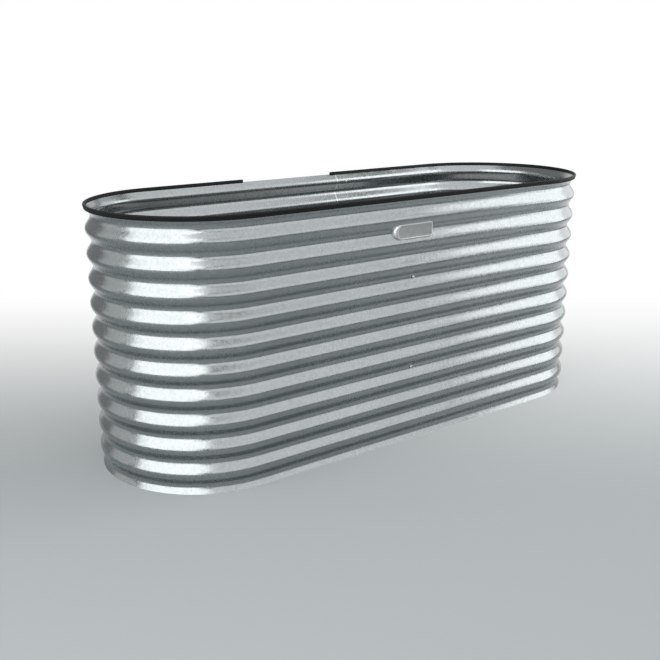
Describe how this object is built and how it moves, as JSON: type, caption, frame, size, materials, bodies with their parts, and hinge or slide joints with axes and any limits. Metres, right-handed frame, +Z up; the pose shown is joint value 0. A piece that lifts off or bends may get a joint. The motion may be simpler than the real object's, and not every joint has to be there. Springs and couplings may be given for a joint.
{
  "type": "raised garden bed",
  "caption": "Tall oblong raised garden bed with round ends, rolled from corrugated galvanised steel, with black rubber edging, cross braces and a bare badge; open at top and bottom.",
  "frame": {"origin": "centre of the footprint on the ground, where the sheet's bottom edge stands", "axes": "+X along the length, +Z up; the badge is on the front wall, which faces -Y, and the lap is in the back wall"},
  "size_m": [1.9224, 0.6784, 0.8234],
  "materials": {
    "galvanised_sheet": "hot-dip zinc coat with fine spangle, cool grey, satin",
    "rivet_metal": "plain satin aluminium",
    "edging_rubber": "black extruded rubber, low sheen",
    "brace_steel": "galvanised flat bar",
    "bolt_steel": "bright zinc-plated steel",
    "badge_metal": "die-cast metal, grey field and bright raised rim",
    "retainer_steel": "blued spring steel"
  },
  "bodies": {
    "root": {"wall_sheet": "galvanised_sheet", "lap_rivets": "rivet_metal", "edging_strip": "edging_rubber", "upper_brace": "brace_steel", "lower_brace": "brace_steel", "brace_bolts": "bolt_steel", "brace_washers": "bolt_steel", "brace_nuts": "bolt_steel", "badge_plate": "badge_metal", "badge_retainers": "retainer_steel"}
  },
  "joints": []
}
